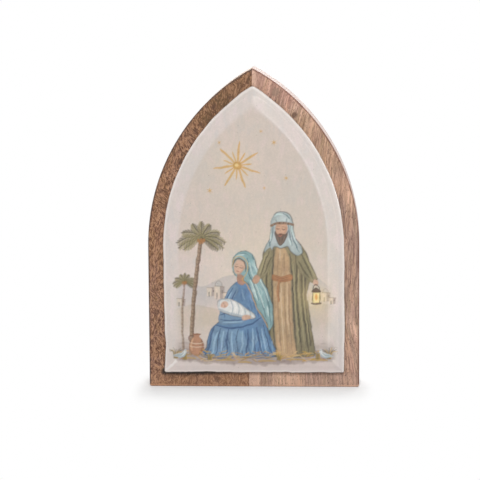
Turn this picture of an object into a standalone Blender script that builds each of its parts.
"""Holy family shelf sitter: a pointed-arch block of two glued boards with an enamelled steel panel on its front.

Metres, +Z up. The origin is the middle of the ornament's footprint on the shelf, and its picture faces -Y.
"""

import math

import bmesh
import bpy
from mathutils import Vector

# The wooden block
BLOCK_WIDTH = 0.1675
BLOCK_DEPTH = 0.032
SPRING_HEIGHT = 0.1133  # straight part of each side, from the shelf to the foot of its arc
ARCH_RADIUS = 0.160  # of each side's arc
ARRIS = 0.001  # sanded edge round the front and the back
FOOT_CORNER = 0.0018  # radius of the block's two lower corners, in outline

# The glue seam, which leans a little from its foot to its head
SEAM_FOOT_X = -0.0042
SEAM_HEAD_X = -0.0004
SEAM_GAP = 0.0003

# The enamelled panel
PANEL_MARGIN = 0.0122  # bare wood all round it
PANEL_BORDER = 0.0125  # width of its sloped border
PANEL_RISE = 0.0032  # of the flat field over the border's edge
PANEL_LIFT = 0.0012  # of the border's edge off the wood
SHEET = 0.0012  # steel and the enamel on both its faces
BEND = 0.0022  # half the width of the soft bend between border and field
CORNER_RADIUS = 0.0016  # of the panel's two lower corners, in outline
HEAD_RADIUS = 0.004  # of the panel's head, in outline
LEAST_RADIUS = 0.0006  # of an inner corner

# The fired transfer print, which follows the panel's front
PRINT_FILM = 0.00015
PRINT_GAP = 0.0001
PRINT_MARGIN = 0.004  # inside the panel's edge

# The adhesive dabs behind the flat field
DAB_RADIUS = 0.010
DAB_BULGE = 0.0012  # how far a squeezed dab's side swells
DAB_CLEARANCE = 0.0003  # at the wood and at the sheet
DAB_SPREAD = 0.6  # of the way from the middle line to the field's side

# Fineness
ARC_STEPS = 32
CORNER_STEPS = 6
BEND_STEPS = 6
EDGE_STEPS = 6
DAB_STEPS = 24
SMOOTH_ANGLE = math.radians(30)

# Sizes that follow
HALF_WIDTH = BLOCK_WIDTH / 2
ARC_CENTRE_X = ARCH_RADIUS - HALF_WIDTH  # of the left side's arc; the right side's is its mirror image
BLOCK_HEIGHT = SPRING_HEIGHT + math.sqrt(ARCH_RADIUS**2 - ARC_CENTRE_X**2)
PANEL_STAND = PANEL_LIFT + PANEL_RISE + SHEET  # the flat field's front over the wood
FRONT_STAND = PANEL_STAND + PRINT_GAP + PRINT_FILM
BLOCK_BACK_Y = (BLOCK_DEPTH + FRONT_STAND) / 2
BLOCK_FACE_Y = BLOCK_BACK_Y - BLOCK_DEPTH
FIELD_INSET = PANEL_MARGIN + PANEL_BORDER  # of the flat field from the block's outline

WOOD_DARK = (0.28, 0.16, 0.095, 1.0)
WOOD_PALE = (0.40, 0.26, 0.20, 1.0)
ENAMEL = (0.66, 0.58, 0.53, 1.0)
PRINT = (0.62, 0.55, 0.50, 1.0)
ADHESIVE = (0.75, 0.73, 0.66, 1.0)


def material(name, colour, roughness, metallic=0.0):
    """A Principled material of one colour."""
    made = bpy.data.materials.new(name)
    made.use_nodes = True
    shader = made.node_tree.nodes["Principled BSDF"]
    shader.inputs["Base Color"].default_value = colour
    shader.inputs["Roughness"].default_value = roughness
    shader.inputs["Metallic"].default_value = metallic
    made.diffuse_color = colour
    return made


def finish(mesh_data, name, look, parent, location):
    """Turns a bmesh into a named object, smooth apart from its sharp edges."""
    bmesh.ops.recalc_face_normals(mesh_data, faces=mesh_data.faces)
    mesh = bpy.data.meshes.new(name)
    mesh_data.to_mesh(mesh)
    mesh_data.free()
    mesh.shade_smooth()
    mesh.set_sharp_from_angle(angle=SMOOTH_ANGLE)
    mesh.materials.append(look)
    made = bpy.data.objects.new(name, mesh)
    bpy.context.scene.collection.objects.link(made)
    made.parent = parent
    made.location = location
    return made


def arc(centre, radius, start, end, steps):
    """Points of an arc in the X-Z plane, both ends included."""
    turns = [start + (end - start) * step / steps for step in range(steps + 1)]
    return [(centre[0] + radius * math.cos(turn), centre[1] + radius * math.sin(turn)) for turn in turns]


def arch_outline(inset, corner_radius=0.0, head_radius=0.0):
    """The pointed arch, drawn in by inset, as (x, z) points from its foot's right end clockwise to the left end.

    Every call with rounded corners gives as many points, so that such outlines can be bridged one to the next.
    """
    half = HALF_WIDTH - inset
    side_radius = ARCH_RADIUS - inset
    head_centre = (0.0, SPRING_HEIGHT + math.sqrt((side_radius - head_radius) ** 2 - ARC_CENTRE_X**2))
    head_turn = math.atan2(head_centre[1] - SPRING_HEIGHT, ARC_CENTRE_X)
    side = arc((-ARC_CENTRE_X, SPRING_HEIGHT), side_radius, 0.0, head_turn, ARC_STEPS)
    if corner_radius:
        corner_centre = (half - corner_radius, inset + corner_radius)
        corner = arc(corner_centre, corner_radius, -math.pi / 2, 0.0, CORNER_STEPS)
    else:
        corner = [(half, inset)]
    right = corner + side
    if head_radius:
        right += arc(head_centre, head_radius, head_turn, math.pi / 2, CORNER_STEPS)[1:]
    left = [(-x, z) for x, z in reversed(right)]
    return right + left[1:]


def add_ring(mesh_data, outline, y):
    return [mesh_data.verts.new((x, y, z)) for x, z in outline]


def bridge(mesh_data, first, second):
    """Joins two rings of as many points by a band of faces."""
    count = len(first)
    for here in range(count):
        after = (here + 1) % count
        mesh_data.faces.new((first[here], first[after], second[after], second[here]))


def block_mesh():
    """The whole block about its middle plane, with the edges of its front and back sanded."""
    mesh_data = bmesh.new()
    outline = arch_outline(0.0, FOOT_CORNER)
    front = add_ring(mesh_data, outline, -BLOCK_DEPTH / 2)
    back = add_ring(mesh_data, outline, BLOCK_DEPTH / 2)
    bridge(mesh_data, front, back)
    faces = [mesh_data.faces.new(front), mesh_data.faces.new(back)]
    sharp = {edge for face in faces for edge in face.edges}
    bmesh.ops.recalc_face_normals(mesh_data, faces=mesh_data.faces)
    bmesh.ops.bevel(
        mesh_data, geom=list(sharp), offset=ARRIS, offset_type="OFFSET", segments=2, profile=0.5, affect="EDGES"
    )
    return mesh_data


def board(name, side, look, parent):
    """One of the two boards: the block cut off at the seam. side is -1 for the left board and 1 for the right."""
    mesh_data = block_mesh()
    foot = Vector((SEAM_FOOT_X, 0.0, 0.0))
    head = Vector((SEAM_HEAD_X, 0.0, BLOCK_HEIGHT))
    across = (head - foot).cross(Vector((0.0, 1.0, 0.0))).normalized()
    across *= math.copysign(1.0, across.x) * side
    cut = bmesh.ops.bisect_plane(
        mesh_data,
        geom=[*mesh_data.verts, *mesh_data.edges, *mesh_data.faces],
        plane_co=foot + across * SEAM_GAP / 2,
        plane_no=across,
        clear_inner=True,
    )
    edges = [item for item in cut["geom_cut"] if isinstance(item, bmesh.types.BMEdge)]
    bmesh.ops.edgeloop_fill(mesh_data, edges=edges)
    return finish(mesh_data, name, look, parent, (0.0, BLOCK_BACK_Y - BLOCK_DEPTH / 2, 0.0))


def border_height(inset):
    """How far the sheet has risen at this inset from the panel's edge: a slope, a soft bend and the flat field."""
    slope = PANEL_RISE / PANEL_BORDER
    past_bend = min(max(inset - (PANEL_BORDER - BEND), 0.0), 2 * BEND)
    return slope * (min(inset, PANEL_BORDER + BEND) - past_bend**2 / (4 * BEND))


def sheet_profile():
    """(inset, height) over the panel's bent sheet, from its back's flat field round its edge to its front's."""
    bend = [PANEL_BORDER + BEND * (1 - 2 * step / BEND_STEPS) for step in range(BEND_STEPS + 1)]
    back = [(inset, border_height(inset)) for inset in bend]
    front = [(inset, height + SHEET) for inset, height in reversed(back)]
    round_edge = arc(
        (SHEET / 2, border_height(SHEET / 2) + SHEET / 2), SHEET / 2, -math.pi / 2, -3 * math.pi / 2, EDGE_STEPS
    )
    return back + round_edge + front


def pressed_shell(name, profile, look, parent):
    """A thin closed shell of the panel's outline: rings along its (inset, height) profile, and its two flat fields."""
    mesh_data = bmesh.new()
    rings = []
    for inset, height in profile:
        corner = max(CORNER_RADIUS - inset, LEAST_RADIUS)
        head = max(HEAD_RADIUS - inset, LEAST_RADIUS)
        rings.append(add_ring(mesh_data, arch_outline(PANEL_MARGIN + inset, corner, head), -PANEL_LIFT - height))
    for first, second in zip(rings, rings[1:]):
        bridge(mesh_data, first, second)
    mesh_data.faces.new(rings[0])
    mesh_data.faces.new(rings[-1])
    return finish(mesh_data, name, look, parent, (0.0, BLOCK_FACE_Y, 0.0))


def enamel_panel(look, parent):
    """The pressed and enamelled steel sheet."""
    return pressed_shell("enamel_panel", sheet_profile(), look, parent)


def picture_transfer(look, parent):
    """The thin film of the fired print, over the sheet's slope, bend and flat field."""
    insets = [PANEL_BORDER + BEND * (1 - 2 * step / BEND_STEPS) for step in range(BEND_STEPS + 1)]
    insets.append(PRINT_MARGIN)
    lower = [(inset, border_height(inset) + SHEET + PRINT_GAP) for inset in insets]
    upper = [(inset, height + PRINT_FILM) for inset, height in reversed(lower)]
    return pressed_shell("picture_transfer", lower + upper, look, parent)


def dab_places():
    """(x, z) of each adhesive dab: a pair low on the field, a pair at the springing, and one under the head."""
    half_field = HALF_WIDTH - FIELD_INSET
    field_head = SPRING_HEIGHT + math.sqrt((ARCH_RADIUS - FIELD_INSET) ** 2 - ARC_CENTRE_X**2)
    low = FIELD_INSET + DAB_RADIUS + BEND + DAB_BULGE
    high = SPRING_HEIGHT + (field_head - SPRING_HEIGHT) * DAB_SPREAD
    aside = half_field * DAB_SPREAD
    return [(-aside, low), (aside, low), (-aside, SPRING_HEIGHT), (aside, SPRING_HEIGHT), (0.0, high)]


def adhesive_dab(name, place, look, parent):
    """A round dab squeezed between the wood and the sheet, with a swollen side."""
    thickness = PANEL_LIFT + PANEL_RISE - 2 * DAB_CLEARANCE
    mesh_data = bmesh.new()
    heights = [step / EDGE_STEPS for step in range(EDGE_STEPS + 1)]
    profile = [
        mesh_data.verts.new((DAB_RADIUS + DAB_BULGE * math.sin(math.pi * share), -thickness * share, 0.0))
        for share in heights
    ]
    middle = [mesh_data.verts.new((0.0, 0.0, 0.0)), mesh_data.verts.new((0.0, -thickness, 0.0))]
    chain = [middle[0], *profile, middle[1]]
    edges = [mesh_data.edges.new(pair) for pair in zip(chain, chain[1:])]
    bmesh.ops.spin(
        mesh_data,
        geom=edges,
        cent=(0.0, 0.0, 0.0),
        axis=(0.0, 1.0, 0.0),
        angle=2 * math.pi,
        steps=DAB_STEPS,
        use_merge=True,
    )
    bmesh.ops.remove_doubles(mesh_data, verts=mesh_data.verts, dist=1e-6)
    return finish(mesh_data, name, look, parent, (place[0], BLOCK_FACE_Y - DAB_CLEARANCE, place[1]))


def main():
    for old in list(bpy.data.objects):
        bpy.data.objects.remove(old)
    stand = bpy.data.objects.new("shelf_sitter", None)
    bpy.context.scene.collection.objects.link(stand)
    board("board_left", -1, material("dark wood", WOOD_DARK, 0.6), stand)
    board("board_right", 1, material("pale wood", WOOD_PALE, 0.6), stand)
    enamel_panel(material("cream enamel", ENAMEL, 0.25), stand)
    picture_transfer(material("fired print", PRINT, 0.25), stand)
    adhesive = material("adhesive", ADHESIVE, 0.8)
    for number, place in enumerate(dab_places(), 1):
        adhesive_dab(f"adhesive_dab_{number}", place, adhesive, stand)


main()
